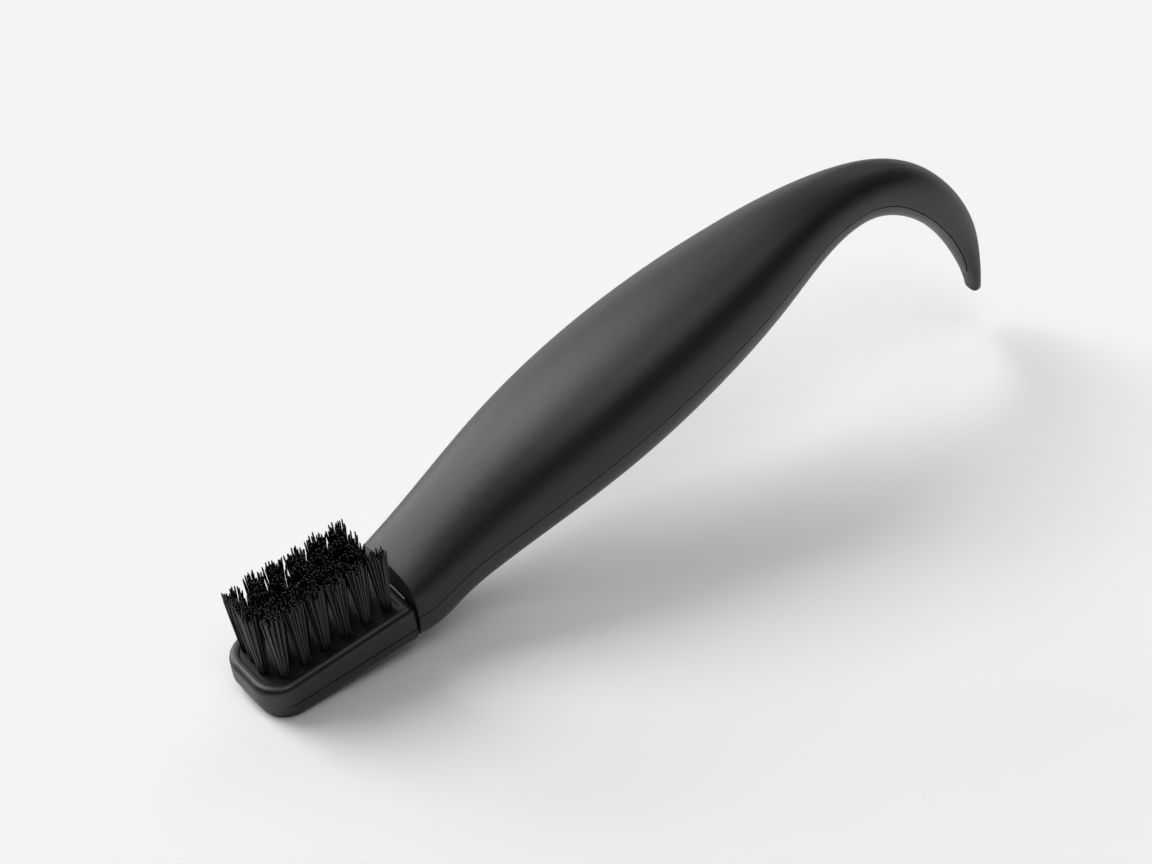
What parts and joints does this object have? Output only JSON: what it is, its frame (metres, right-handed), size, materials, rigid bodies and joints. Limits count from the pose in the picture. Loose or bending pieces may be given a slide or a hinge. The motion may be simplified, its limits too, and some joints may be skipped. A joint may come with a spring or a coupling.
{
  "type": "crevice brush",
  "caption": "Crevice brush with tufts in rows on a round-toed head and a swelling two-shell handle that ends in a claw hook",
  "frame": {"origin": "centre of the flat foot under the brush head", "axes": "+X from the head along the handle to the hook, +Z the way the tufts point, +Y across the head"},
  "size_m": [0.1794, 0.0288, 0.053],
  "materials": {
    "soft_touch_black": "fine satin grain, soft-touch moulded plastic",
    "lower_shell_black": "moulded ABS, satin",
    "head_black": "moulded polypropylene, satin",
    "bristle_nylon": "stiff black nylon strands with a slight sheen",
    "anchor_brass": "punched flat wire"
  },
  "bodies": {
    "root": {"handle_upper_shell": "soft_touch_black", "handle_lower_shell": "lower_shell_black", "head_tray": "head_black", "head_base": "head_black", "tuft_row1_1": "bristle_nylon", "tuft_row1_2": "bristle_nylon", "tuft_row1_3": "bristle_nylon", "tuft_row1_4": "bristle_nylon", "tuft_row1_5": "bristle_nylon", "tuft_row1_6": "bristle_nylon", "tuft_row2_1": "bristle_nylon", "tuft_row2_2": "bristle_nylon", "tuft_row2_3": "bristle_nylon", "tuft_row2_4": "bristle_nylon", "tuft_row2_5": "bristle_nylon", "tuft_row2_6": "bristle_nylon", "tuft_row3_1": "bristle_nylon", "tuft_row3_2": "bristle_nylon", "tuft_row3_3": "bristle_nylon", "tuft_row3_4": "bristle_nylon", "tuft_row3_5": "bristle_nylon", "tuft_row3_6": "bristle_nylon", "tuft_row4_1": "bristle_nylon", "tuft_row4_2": "bristle_nylon", "tuft_row4_3": "bristle_nylon", "tuft_row4_4": "bristle_nylon", "tuft_row4_5": "bristle_nylon", "tuft_row4_6": "bristle_nylon", "tuft_anchors": "anchor_brass"}
  },
  "joints": []
}
